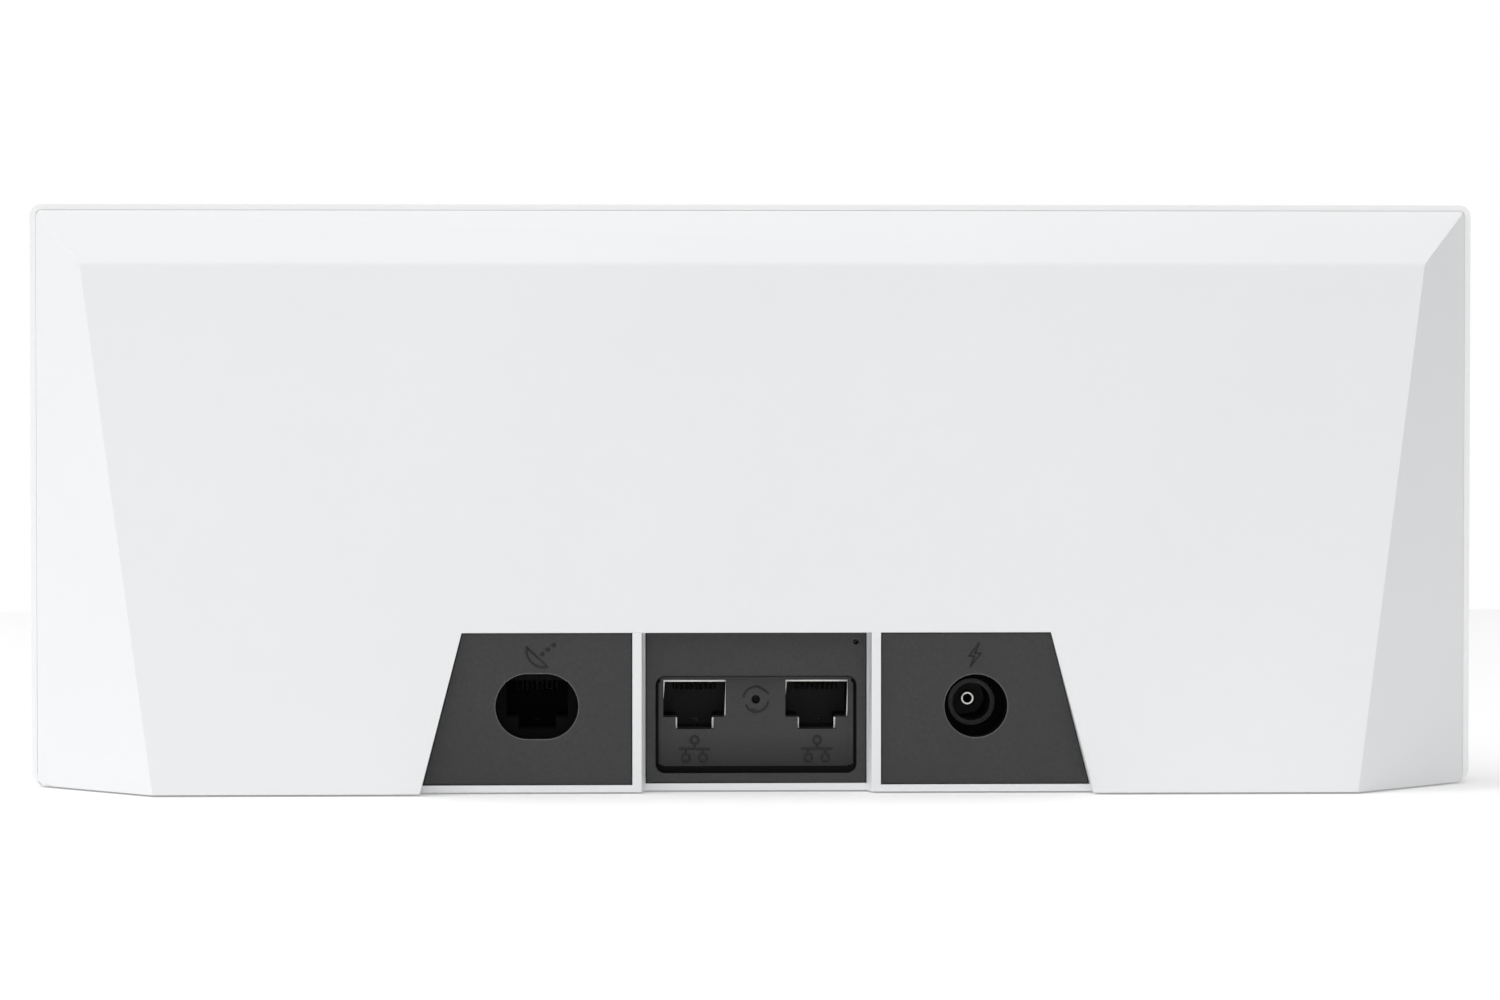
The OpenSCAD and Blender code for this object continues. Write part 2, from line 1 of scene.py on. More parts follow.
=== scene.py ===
import json
import math
import bmesh
import bpy
import numpy
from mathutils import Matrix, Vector


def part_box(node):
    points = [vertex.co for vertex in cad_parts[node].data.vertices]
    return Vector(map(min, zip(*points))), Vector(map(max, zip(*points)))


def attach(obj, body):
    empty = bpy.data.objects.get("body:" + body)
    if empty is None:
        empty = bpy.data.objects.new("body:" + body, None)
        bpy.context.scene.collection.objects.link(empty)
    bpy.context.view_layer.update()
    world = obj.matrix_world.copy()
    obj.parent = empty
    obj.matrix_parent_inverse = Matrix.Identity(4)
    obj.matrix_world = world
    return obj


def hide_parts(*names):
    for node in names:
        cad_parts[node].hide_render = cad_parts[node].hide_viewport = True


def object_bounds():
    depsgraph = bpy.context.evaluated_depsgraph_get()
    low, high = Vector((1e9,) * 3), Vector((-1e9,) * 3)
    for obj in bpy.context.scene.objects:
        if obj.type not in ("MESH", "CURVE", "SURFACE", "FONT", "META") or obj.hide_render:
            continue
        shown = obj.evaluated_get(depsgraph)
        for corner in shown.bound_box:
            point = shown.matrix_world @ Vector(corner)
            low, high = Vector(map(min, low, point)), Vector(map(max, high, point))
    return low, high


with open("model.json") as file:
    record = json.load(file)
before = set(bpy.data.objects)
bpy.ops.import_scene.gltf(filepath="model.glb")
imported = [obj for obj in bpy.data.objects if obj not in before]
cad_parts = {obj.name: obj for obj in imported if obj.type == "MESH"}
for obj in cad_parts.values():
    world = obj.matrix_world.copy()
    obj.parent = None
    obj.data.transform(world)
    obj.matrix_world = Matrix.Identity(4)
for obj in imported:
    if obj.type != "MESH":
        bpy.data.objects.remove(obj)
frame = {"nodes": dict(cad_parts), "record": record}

cadBounds = [list(corner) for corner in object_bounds()]
nodes = frame["nodes"]
mountAt = {mount["name"]: mount["pos_m"] for mount in frame["record"]["mounts"]}
bodyName = "router_body"
mm = 0.001
white = (1.0, 1.0, 1.0, 1.0)
mixFrom, mixTo, mixed = 6, 7, 2  # a colour Mix node's two colours and its result, by socket number
print("frame loaded:", len(nodes), "nodes")


def fromHex(colour):
    parts = [int(colour[i:i + 2], 16) / 255 for i in (1, 3, 5)]
    return tuple(p / 12.92 if p <= 0.04045 else ((p + 0.055) / 1.055) ** 2.4 for p in parts) + (1.0,)


# adds one node with its settings, fixed inputs and links; a key is a socket's name or number
def addNode(tree, kind, values=None, links=None, **settings):
    made = tree.nodes.new(kind)
    for name, value in settings.items():
        setattr(made, name, value)
    for socket, value in (values or {}).items():
        made.inputs[socket].default_value = value
    for socket, source in (links or {}).items():
        tree.links.new(source, made.inputs[socket])
    return made


# a material with its shader's own numbers, and the place on the object in metres
def newMaterial(name, **values):
    material = bpy.data.materials.new(name)
    material.use_nodes = True
    tree = material.node_tree
    shader = tree.nodes["Principled BSDF"]
    for socket, value in values.items():
        shader.inputs[socket.replace("_", " ")].default_value = value
    place = addNode(tree, "ShaderNodeTexCoord").outputs["Object"]
    return material, tree, shader, place


# links what varies over the surface to the shader; an underscore stands for a space
def surface(tree, shader, **sources):
    for socket, source in sources.items():
        tree.links.new(source, shader.inputs[socket.replace("_", " ")])


# ABS moulded in a finely spark-eroded tool: a soft, even white that spreads each highlight
def mouldedAbs(name, light, shade, rough, depth):
    material, tree, shader, place = newMaterial(name, IOR=1.53)
    flow = addNode(tree, "ShaderNodeTexNoise", {"Scale": 1 / (70 * mm), "Detail": 2.0},
                   {"Vector": place})  # a slow drift of tone, where the plastic flowed
    tone = addNode(tree, "ShaderNodeMix", {mixFrom: fromHex(shade), mixTo: fromHex(light)},
                   {0: flow.outputs[0]}, data_type="RGBA")
    grain = addNode(tree, "ShaderNodeTexNoise",
                    {"Scale": 1 / (0.5 * mm), "Detail": 3.0, "Roughness": 0.6}, {"Vector": place})
    sheen = addNode(tree, "ShaderNodeMapRange", {"From Min": 0.3, "From Max": 0.7,
                    "To Min": rough - 0.04, "To Max": rough + 0.05}, {"Value": grain.outputs[0]})
    bump = addNode(tree, "ShaderNodeBump", {"Strength": 0.5, "Distance": depth * mm},
                   {"Height": grain.outputs[0]})
    surface(tree, shader, Base_Color=tone.outputs[mixed], Roughness=sheen.outputs[0],
            Normal=bump.outputs[0])
    return material


# charcoal ABS with a coarser eroded grain, which breaks every highlight into fine specks;
# with wellShade, painted shade darkens the colour towards the foot of a well
def grainedCharcoal(name, dark="#252526", light="#343435", mean="#2d2d2e", wellShade=None):
    material, tree, shader, place = newMaterial(name, IOR=1.53)
    grain = addNode(tree, "ShaderNodeTexNoise",
                    {"Scale": 1 / (0.55 * mm), "Detail": 4.0, "Roughness": 0.65},
                    {"Vector": place})  # real grain is near 0.2 mm, drawn coarser so that it shows
    cloud = addNode(tree, "ShaderNodeTexNoise", {"Scale": 1 / (14 * mm), "Detail": 3.0},
                    {"Vector": place})
    speck = addNode(tree, "ShaderNodeMapRange", {"From Min": 0.35, "From Max": 0.68},
                    {"Value": grain.outputs[0]})
    tone = addNode(tree, "ShaderNodeMix", {mixFrom: fromHex(dark), mixTo: fromHex(light)},
                   {0: speck.outputs[0]}, data_type="RGBA")
    haze = addNode(tree, "ShaderNodeMix", {mixTo: fromHex(mean)},
                   {0: cloud.outputs[0], mixFrom: tone.outputs[mixed]}, data_type="RGBA")
    if wellShade:
        height = addNode(tree, "ShaderNodeSeparateXYZ", None, {0: place})
        dim = addNode(tree, "ShaderNodeMapRange",
                      {"From Min": wellShade["low"] * mm, "From Max": wellShade["high"] * mm},
                      {"Value": height.outputs["Z"]})
        haze = addNode(tree, "ShaderNodeMix", {mixFrom: fromHex(wellShade["colour"])},
                       {0: dim.outputs[0], mixTo: haze.outputs[mixed]}, data_type="RGBA")
    sheen = addNode(tree, "ShaderNodeMapRange", {"To Min": 0.46, "To Max": 0.66},
                    {"Value": cloud.outputs[0]})
    bump = addNode(tree, "ShaderNodeBump", {"Strength": 0.6, "Distance": 0.05 * mm},
                   {"Height": grain.outputs[0]})
    surface(tree, shader, Base_Color=haze.outputs[mixed], Roughness=sheen.outputs[0],
            Normal=bump.outputs[0])
    return material


# moulded rubber or soft plastic: dull, with a faint bloom in patches of about 5 mm
def mouldedRubber(name, dark, bloom, rough):
    material, tree, shader, place = newMaterial(name, IOR=1.5, Sheen_Weight=0.2, Sheen_Roughness=0.6)
    patch = addNode(tree, "ShaderNodeTexNoise", {"Scale": 1 / (5 * mm), "Detail": 5.0},
                    {"Vector": place})
    tone = addNode(tree, "ShaderNodeMix", {mixFrom: fromHex(dark), mixTo: fromHex(bloom)},
                   {0: patch.outputs[0]}, data_type="RGBA")
    sheen = addNode(tree, "ShaderNodeMapRange", {"To Min": rough - 0.1, "To Max": rough + 0.1},
                    {"Value": patch.outputs[0]})
    skin = addNode(tree, "ShaderNodeTexNoise", {"Scale": 1 / (0.5 * mm), "Detail": 2.0},
                   {"Vector": place})
    bump = addNode(tree, "ShaderNodeBump", {"Strength": 0.4, "Distance": 0.03 * mm},
                   {"Height": skin.outputs[0]})
    surface(tree, shader, Base_Color=tone.outputs[mixed], Roughness=sheen.outputs[0],
            Normal=bump.outputs[0])
    return material


# expanded PTFE film: chalky white felt of fibres, drawn 0.3 mm apart so that they show
def feltedPtfe(name):
    material, tree, shader, place = newMaterial(name, Roughness=0.9, IOR=1.38, Sheen_Weight=0.3)
    fibre = addNode(tree, "ShaderNodeTexVoronoi", {"Scale": 1 / (0.3 * mm)}, {"Vector": place},
                    feature="DISTANCE_TO_EDGE")
    tone = addNode(tree, "ShaderNodeMix", {mixFrom: fromHex("#dcdcd6"), mixTo: fromHex("#f4f4f0")},
                   {0: fibre.outputs[0]}, data_type="RGBA")
    bump = addNode(tree, "ShaderNodeBump", {"Strength": 0.5, "Distance": 0.02 * mm},
                   {"Height": fibre.outputs[0]})
    surface(tree, shader, Base_Color=tone.outputs[mixed], Normal=bump.outputs[0])
    return material


# FR-4 board under solder mask: copper runs show as paler raised lines, with tinned dots between them
def maskedBoard(name, mask, copper):
    material, tree, shader, place = newMaterial(name, IOR=1.55, Coat_Weight=0.35, Coat_Roughness=0.15)
    stripe = addNode(tree, "ShaderNodeTexWave", {"Scale": 1 / (1.4 * mm) / 6.3},
                     {"Vector": place}, bands_direction="DIAGONAL")  # runs about 1.4 mm apart
    run = addNode(tree, "ShaderNodeMapRange", {"From Min": 0.6, "From Max": 0.75},
                  {"Value": stripe.outputs[0]})
    tone = addNode(tree, "ShaderNodeMix", {mixFrom: fromHex(mask), mixTo: fromHex(copper)},
                   {0: run.outputs[0]}, data_type="RGBA")
    dots = addNode(tree, "ShaderNodeTexVoronoi", {"Scale": 1 / (3.2 * mm)}, {"Vector": place})
    via = addNode(tree, "ShaderNodeMath", {1: 0.12}, {0: dots.outputs["Distance"]},
                  operation="LESS_THAN")
    tin = addNode(tree, "ShaderNodeMix", {mixTo: fromHex("#c9c6bd")},
                  {0: via.outputs[0], mixFrom: tone.outputs[mixed]}, data_type="RGBA")
    gloss = addNode(tree, "ShaderNodeMapRange", {"To Min": 0.34, "To Max": 0.25},
                    {"Value": run.outputs[0]})
    bump = addNode(tree, "ShaderNodeBump", {"Strength": 0.5, "Distance": 0.04 * mm},
                   {"Height": run.outputs[0]})
    surface(tree, shader, Base_Color=tin.outputs[mixed], Metallic=via.outputs[0],
            Roughness=gloss.outputs[0], Normal=bump.outputs[0])
    return material


# bare metal with fine lines one way, as left by rolling, drawing or brushing; along is how much
# each axis counts, so the lines run along the axis with the smallest number
def linedMetal(name, light, dark, rough, lines, along=(1.0, 1.0, 1.0)):
    material, tree, shader, place = newMaterial(name, Metallic=1.0)
    stretch = addNode(tree, "ShaderNodeMapping", {"Scale": along}, {"Vector": place})
    line = addNode(tree, "ShaderNodeTexNoise",
                   {"Scale": 1 / (lines * mm), "Detail": 4.0, "Roughness": 0.6},
                   {"Vector": stretch.outputs[0]})
    smudge = addNode(tree, "ShaderNodeTexNoise", {"Scale": 1 / (6 * mm), "Detail": 3.0},
                     {"Vector": place})
    tone = addNode(tree, "ShaderNodeMix", {mixFrom: fromHex(dark), mixTo: fromHex(light)},
                   {0: line.outputs[0]}, data_type="RGBA")
    gloss = addNode(tree, "ShaderNodeMapRange", {"From Min": 0.3, "From Max": 0.7,
                    "To Min": rough - 0.06, "To Max": rough + 0.1}, {"Value": smudge.outputs[0]})
    bump = addNode(tree, "ShaderNodeBump", {"Strength": 0.4, "Distance": 0.01 * mm},
                   {"Height": line.outputs[0]})
    surface(tree, shader, Base_Color=tone.outputs[mixed], Roughness=gloss.outputs[0],
            Normal=bump.outputs[0])
    return material


# filled resin or ceramic: a matt body with fine pale specks of filler
def speckledResin(name, dark, speck, rough, size, **values):
    material, tree, shader, place = newMaterial(name, IOR=1.56, **values)
    cells = addNode(tree, "ShaderNodeTexVoronoi", {"Scale": 1 / (size * mm)}, {"Vector": place})
    fleck = addNode(tree, "ShaderNodeMapRange",
                    {"From Min": 0.05, "From Max": 0.35, "To Min": 1.0, "To Max": 0.0},
                    {"Value": cells.outputs["Distance"]})
    tone = addNode(tree, "ShaderNodeMix", {mixFrom: fromHex(dark), mixTo: fromHex(speck)},
                   {0: fleck.outputs[0]}, data_type="RGBA")
    skin = addNode(tree, "ShaderNodeTexNoise", {"Scale": 1 / (1.5 * mm), "Detail": 4.0},
                   {"Vector": place})
    gloss = addNode(tree, "ShaderNodeMapRange", {"To Min": rough - 0.08, "To Max": rough + 0.08},
                    {"Value": skin.outputs[0]})
    bump = addNode(tree, "ShaderNodeBump", {"Strength": 0.3, "Distance": 0.02 * mm},
                   {"Height": skin.outputs[0]})
    surface(tree, shader, Base_Color=tone.outputs[mixed], Roughness=gloss.outputs[0],
            Normal=bump.outputs[0])
    return material


# clear acrylic or epoxy, cast with faint flow waves: light passes, edges catch a gloss line
def clearResin(name, tint, clear, rough):
    material, tree, shader, place = newMaterial(name, IOR=1.49, Transmission_Weight=clear)
    wave = addNode(tree, "ShaderNodeTexNoise", {"Scale": 1 / (2 * mm), "Detail": 2.0},
                   {"Vector": place})
    tone = addNode(tree, "ShaderNodeMix", {mixFrom: fromHex(tint), mixTo: fromHex("#f6f8f8")},
                   {0: wave.outputs[0]}, data_type="RGBA")
    gloss = addNode(tree, "ShaderNodeMapRange", {"To Min": rough, "To Max": rough + 0.12},
                    {"Value": wave.outputs[0]})
    surface(tree, shader, Base_Color=tone.outputs[mixed], Roughness=gloss.outputs[0])
    return material


# each slot's finish: its two colours, its roughness, and its grain's size or depth in millimetres
finishes = {
    "cover_shell": mouldedAbs("mouldedAbsCover", "#f8f8f8", "#f4f4f5", 0.44, 0.012),
    "housing_shell": mouldedAbs("mouldedAbsHousing", "#edeeef", "#e9eaeb", 0.46, 0.014),
    "port_panel": grainedCharcoal("grainedCharcoalAbs"),
    "seal_rubber": mouldedRubber("epdmSealRubber", "#0f0f10", "#1d1d1e", 0.75),
    "foot_rubber": mouldedRubber("siliconeFootRubber", "#7d7f80", "#96989a", 0.7),
    "membrane": feltedPtfe("expandedPtfeFelt"),
    "circuit_board": maskedBoard("solderMaskedBoard", "#0e3d24", "#1c6a3e"),
    "antenna_board": maskedBoard("antennaBoardMask", "#8a6a2c", "#c49a4e"),
    "heat_sink": linedMetal("extrudedAluminium", "#d4d6d8", "#b4b6b9", 0.36, 0.3, (1.0, 1.0, 0.03)),
    "thermal_pad": mouldedRubber("siliconeThermalPad", "#8aa9bd", "#a3c0d2", 0.8),
    "chip_lid": linedMetal("nickelPlatedLid", "#cfcec9", "#aeada8", 0.3, 0.25, (0.05, 1.0, 1.0)),
    "chip_black": speckledResin("epoxyMouldingCompound", "#151516", "#2c2c2d", 0.55, 0.25),
    "tinned_steel": linedMetal("tinPlatedSteel", "#cdccc6", "#a8a7a2", 0.28, 1.2),
    "ferrite": speckledResin("sinteredFerrite", "#2b2a29", "#4a4846", 0.7, 0.4),
    "capacitor_can": linedMetal("drawnAluminiumCan", "#d3d6da", "#b9bcc0", 0.25, 0.4,
                                (1.0, 0.04, 1.0)),
    "jack_plastic": speckledResin("glassFilledPolyester", "#0e0e0f", "#1b1b1c", 0.55, 0.3,
                                  Specular_IOR_Level=0.3),
    "plated_metal": linedMetal("nickelPlatedBrass", "#e4e3df", "#c9c8c3", 0.2, 0.4,
                               (1.0, 0.06, 1.0)),
    "gold_plate": linedMetal("goldFlashedBronze", "#a39878", "#7d7154", 0.25, 0.4,
                             (1.0, 0.05, 1.0)),
    # the button's colour is painted dark as the shade inside the pinhole
    "button_plastic": speckledResin("mouldedAcetal", "#0b0b0c", "#161617", 0.5, 0.8,
                                    Specular_IOR_Level=0.2),  # dark, so that the pinhole stays dark
    "lead_jacket": mouldedRubber("extrudedLeadJacket", "#161617", "#232325", 0.45),
    "led_body": clearResin("phosphorEpoxy", "#e8dc9a", 0.2, 0.15),
    "light_pipe": clearResin("clearAcrylic", "#e6eef0", 0.75, 0.12),
    "screw_steel": linedMetal("zincPlatedSteel", "#c2c5c8", "#9ea2a6", 0.3, 0.3),
}
# painted shade: a near-black, matt colour laid where only shade falls, on socket bodies, inside holes
# and hollows and on the walls of wells; it gives back almost no light
paintedShadeBlack = speckledResin("paintedShadeBlackNylon", "#070707", "#0f0f0f", 0.75, 0.3, Specular_IOR_Level=0.1)
# the panels' charcoal with painted shade: nearly black at the foot of the network well
paintedShadeCharcoal = grainedCharcoal("paintedShadeCharcoalAbs",
                               wellShade={"high": 12, "low": 4, "colour": "#060607"})
# the panels' charcoal, painted darker on the raised marks as their shade, so that their lines show
markShadeCharcoal = grainedCharcoal("markShadeCharcoalAbs", "#08080a", "#111112", "#0d0d0e")
# painted highlight: a mid grey line on a well's rim, lighter than the panels' charcoal, with a
# smoother gloss
rimHighlightGrey = speckledResin("rimHighlightAbs", "#555556", "#5e5e5f", 0.25, 0.3)
# painted light: the sockets' glass-filled nylon in a lighter grey, where light reaches it; dull grey
# on the power socket's lip
litLipGrey = speckledResin("litGlassFilledNylon", "#1e1e1f", "#2e2e2f", 0.5, 0.3)
# bright tin plate, painted paler than the other plated metal as a highlight: white and soft at a
# shield's edge, where it meets the light
brightTinHighlight = linedMetal("brightTinHighlightPlate", "#f7f6f3", "#e2e1dd", 0.42, 0.4)
slotOf = {part["node"]: part["material_slot"] for part in frame["record"]["subparts"]}
for nodeName, node in nodes.items():
    node.data.materials.clear()
    node.data.materials.append(finishes[slotOf[nodeName]])
# the dish socket's body takes the near-black painted shade, for the shade inside that socket
nodes["dish_jack_body"].data.materials[0] = paintedShadeBlack
print("finishes made:", len(finishes))

# how near counts as touching, in millimetres, and as flat or as an edge, in degrees
near = {"weld": 0.0005, "joined": 0.001, "plane": 0.01, "outside": 0.05, "speck": 0.001,
        "flat": 0.4, "edge": 18, "smooth": 32}


# shells, panels and small parts start from a copy of a node with its triangles joined
def mergedMesh(nodeName):
    shape = bmesh.new()
    shape.from_mesh(nodes[nodeName].data)
    bmesh.ops.remove_doubles(shape, verts=shape.verts, dist=near["weld"] * mm)
    return shape


# joins the triangles of each flat
def wholeFaces(shape):
    bmesh.ops.dissolve_limit(shape, angle_limit=math.radians(near["flat"]), verts=shape.verts,
                             edges=shape.edges)


def linked(name, mesh):
    made = bpy.data.objects.new(name, mesh)
    made.data.name = name
    bpy.context.scene.collection.objects.link(made)
    return made


def newPiece(name, shape):
    mesh = bpy.data.meshes.new(name)
    shape.to_mesh(mesh)
    shape.free()
    return linked(name, mesh)


# the mesh that an object's modifiers make
def resultOf(host):
    graph = bpy.context.evaluated_depsgraph_get()
    return bpy.data.meshes.new_from_object(host.evaluated_get(graph))


# joins two closed shapes into one skin
def united(first, second):
    base = newPiece("unitedBase", first)
    tool = newPiece("unitedTool", second)
    modifier = base.modifiers.new("join", "BOOLEAN")
    modifier.operation = "UNION"
    modifier.solver = "EXACT"
    modifier.object = tool
    shape = bmesh.new()
    shape.from_mesh(resultOf(base))
    for used in (base, tool):
        bpy.data.objects.remove(used)
    bmesh.ops.remove_doubles(shape, verts=shape.verts, dist=near["joined"] * mm)
    return shape


# faces that lie on the outside of the whole form, and not in a recess of it
def outerFaces(shape):
    points = numpy.array([v.co for v in shape.verts])
    found = set()
    for face in shape.faces:
        if face.calc_area() < near["speck"] * mm ** 2:
            continue
        reach = points @ numpy.array(face.normal)
        if reach.max() - face.calc_center_median().dot(face.normal) < near["outside"] * mm:
            found.add(face)
    return found


# makes a piece with rounded edges: each rule picks edges, and has a radius in millimetres
def roundedPiece(name, shape, rounds, segments=2):
    weight = shape.edges.layers.float.new("bevel_weight_edge")
    widest = max(radius for rule, radius in rounds)
    for edge in shape.edges:
        if len(edge.link_faces) == 2 and edge.calc_face_angle(0) > math.radians(near["edge"]):
            edge[weight] = next((radius / widest for rule, radius in rounds if rule(edge)), 0.0)
    sharp = newPiece(name + "Sharp", shape)
    modifier = sharp.modifiers.new("rounds", "BEVEL")
    modifier.limit_method = "WEIGHT"
    modifier.width = widest * mm
    modifier.segments = segments
    modifier.use_clamp_overlap = False
    modifier.loop_slide = False
    made = linked(name, resultOf(sharp))
    bpy.data.objects.remove(sharp)
    shadeSmooth(made)
    return made


# smooth shading that keeps the big flats flat
def shadeSmooth(piece):
    piece.data.shade_smooth()
    piece.data.set_sharp_from_angle(angle=math.radians(near["smooth"]))
    modifier = piece.modifiers.new("flats", "WEIGHTED_NORMAL")
    modifier.keep_sharp = True
    modifier.weight = 100


# gives a piece its slot's finish, or another one where it looks different there
def placePiece(piece, slotName, *replaced, finish=None):
    piece.data.materials.clear()
    piece.data.materials.append(finish or finishes[slotName])
    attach(piece, bodyName)
    if replaced:
        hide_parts(*replaced)
    return piece


def onPlane(edge, axis, value):
    return all(abs(v.co[axis] - value) < near["plane"] * mm for v in edge.verts)


def middleOf(edge):
    return (edge.verts[0].co + edge.verts[1].co) / 2


# edge radii of the shells in millimetres; seamClose is how much of the seam's clearance the
# housing's lip takes up, so that the seam shows as a hair line, and lip is how far back that starts
shells = {"facets": 0.5, "base": 0.2, "bay": 0.15, "rim": 0.12, "seamClose": 0.08, "lip": 0.2}
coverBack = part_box("front_cover")[0].y
cover = mergedMesh("front_cover")
wholeFaces(cover)
coverPiece = roundedPiece("coverShell", cover, [
    (lambda e: onPlane(e, 1, coverBack), shells["rim"])])
placePiece(coverPiece, "cover_shell", "front_cover")

rear = united(mergedMesh("rear_housing"), mergedMesh("port_frame"))
rearLow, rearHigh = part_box("rear_housing")
seamClose = shells["seamClose"] * mm
for vertex in rear.verts:
    if vertex.co.y > coverBack - shells["lip"] * mm:
        vertex.co.x *= 1 + seamClose / rearHigh.x
        vertex.co.z += seamClose * max(2 * vertex.co.z / rearHigh.z - 1, 0)
wholeFaces(rear)
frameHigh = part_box("port_frame")[1]
outside = outerFaces(rear)
# which edges are the bay's and which the facets': least length, and distances in millimetres
shellEdge = {"bayLength": 20, "bayBack": 2, "bayUpright": 1, "facetAngle": 30, "facetBack": 1}


# the ribs' upright edges, and the two leaning edges where the bay's sides meet the sloping rear face
def bayEdge(edge):
    middle, run = middleOf(edge), edge.verts[1].co - edge.verts[0].co
    if (abs(run.z) < shellEdge["bayLength"] * mm or abs(middle.x) > frameHigh.x
            or middle.y > frameHigh.y - shellEdge["bayBack"] * mm):
        return False
    upright = abs(run.x) < shellEdge["bayUpright"] * mm
    return upright or sum(f in outside for f in edge.link_faces) == 1


def facetEdge(edge):
    return (all(f in outside for f in edge.link_faces)
            and edge.calc_face_angle(0) > math.radians(shellEdge["facetAngle"])
            and any(v.co.y < coverBack - shellEdge["facetBack"] * mm for v in edge.verts))


rearPiece = roundedPiece("rearShell", rear, [
    (bayEdge, shells["bay"]),
    (lambda e: facetEdge(e) and onPlane(e, 2, rearLow.z), shells["base"]),
    (facetEdge, shells["facets"])])
placePiece(rearPiece, "housing_shell", "rear_housing", "port_frame")
print("shells made:", len(coverPiece.data.polygons), len(rearPiece.data.polygons), "faces")

# the well round the two network sockets, with walls that curve into its floor, in millimetres;
# lap and buried are how far the curved walls run into the panel to join it
well = {"halfWidth": 20.5, "low": 3.9, "high": 23.7, "corner": 1.9, "leastCorner": 0.5, "depth": 2.0,
        "draft": 1.4, "topDraft": 0.55, "arcSteps": 5, "cornerSteps": 8, "lap": 0.1, "buried": 0.03}
panelRounds = {"face": 0.2, "mouth": 0.1}
wellFloor = mountAt["ethernet_socket_left"][1]


def wellOutline(inset, topInset):
    half, low, high = well["halfWidth"] - inset, well["low"] + inset, well["high"] - topInset
    radius = max(well["corner"] - inset, well["leastCorner"])
    right, left, top, foot = half - radius, radius - half, high - radius, low + radius
    points = []
    for cornerX, cornerZ, start in ((right, top, 0), (left, top, 90), (left, foot, 180),
                                    (right, foot, 270)):
        for step in range(well["cornerSteps"] + 1):
            angle = math.radians(start + 90 * step / well["cornerSteps"])
            points.append((cornerX + radius * math.cos(angle), cornerZ + radius * math.sin(angle)))
    return points


def wellFillet(faceY):
    lap, buried = well["lap"], well["buried"]
    rings = [(-lap, -lap, well["depth"] + 2 * buried), (-lap, -lap, buried)]
    for step in range(well["arcSteps"] + 1):
        angle = math.radians(90 * step / well["arcSteps"])
        turn = 1 - math.cos(angle)
        rings.append((well["draft"] * turn, well["topDraft"] * turn,
                      well["depth"] * math.sin(angle) + buried))
    shape = bmesh.new()
    loops = [[shape.verts.new((x * mm, faceY + deep * mm, z * mm))
              for x, z in wellOutline(inset, topInset)] for inset, topInset, deep in rings]
    for first, second in zip(loops, loops[1:] + loops[:1]):
        for i in range(len(first)):
            j = (i + 1) % len(first)
            shape.faces.new((first[i], first[j], second[j], second[i]))
    bmesh.ops.recalc_face_normals(shape, faces=shape.faces)
    return shape


def mouthEdge(edge):
    return onPlane(edge, 1, wellFloor) and abs(middleOf(edge).x) < well["halfWidth"] * mm


def panelPiece(name, nodeName, shape):
    wholeFaces(shape)
    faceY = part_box(nodeName)[0].y
    piece = roundedPiece(name, shape, [
        (lambda e: onPlane(e, 1, faceY), panelRounds["face"]), (mouthEdge, panelRounds["mouth"])])
    return placePiece(piece, "port_panel", nodeName)


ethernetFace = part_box("ethernet_port_panel")[0].y
ethernetPanel = panelPiece("ethernetPanel", "ethernet_port_panel",
                           united(mergedMesh("ethernet_port_panel"), wellFillet(ethernetFace)))
dishPanel = panelPiece("dishPanel", "dish_port_panel", mergedMesh("dish_port_panel"))
powerPanel = panelPiece("powerPanel", "power_port_panel", mergedMesh("power_port_panel"))

membraneLow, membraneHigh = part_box("vent_membrane")
ventMiddle = (membraneLow + membraneHigh) / 2
# a wall gets painted shade where its slope is over these shares of upward or sideways; a rim gets a
# painted highlight where it is a small face between these shares of facing back; ventRadius and
# floorGap are in millimetres, rimArea in mm2
panelShade = {"upward": 0.12, "sideways": 0.6, "rimLeast": 0.2, "rimMost": 0.95, "rimArea": 2.0,
              "ventRadius": 1.0, "floorGap": 0.02}
# of these finishes the second and third are painted shade, and the fourth a painted highlight on a
# rim
plain, black, dimmed, glossHighlight = range(4)  # the panels' finishes, in the order they are added


# painted shade: the network well is black on its lower wall, along its sides and in its sockets, and
# dimmed on its floor; the vent hole is black too
def networkFinish(middle, normal):
    if abs(middle.x) < well["halfWidth"] * mm:
        shaded = middle.y < wellFloor and (normal.z > panelShade["upward"]
                                           or abs(normal.x) > panelShade["sideways"])
        return black if shaded or middle.y > wellFloor + panelShade["floorGap"] * mm else dimmed
    fromVent = math.hypot(middle.x - ventMiddle.x, middle.z - ventMiddle.z)
    return black if fromVent < panelShade["ventRadius"] * mm else plain


# faces set back in the panels' holes take the painted shade, and small rim faces of the dish and
# power panels the painted highlight
for piece in (ethernetPanel, dishPanel, powerPanel):
    for finish in (paintedShadeBlack, paintedShadeCharcoal, rimHighlightGrey):
        piece.data.materials.append(finish)
    faceY = min(v.co.y for v in piece.data.vertices)
    for face in piece.data.polygons:
        if face.center.y > faceY + panelRounds["face"] * mm:
            face.material_index = (networkFinish(face.center, face.normal)
                                   if piece is ethernetPanel else black)
        elif (piece is not ethernetPanel and face.area < panelShade["rimArea"] * mm ** 2
              and panelShade["rimLeast"] < abs(face.normal.y) < panelShade["rimMost"]):
            face.material_index = glossHighlight
print("panels made")


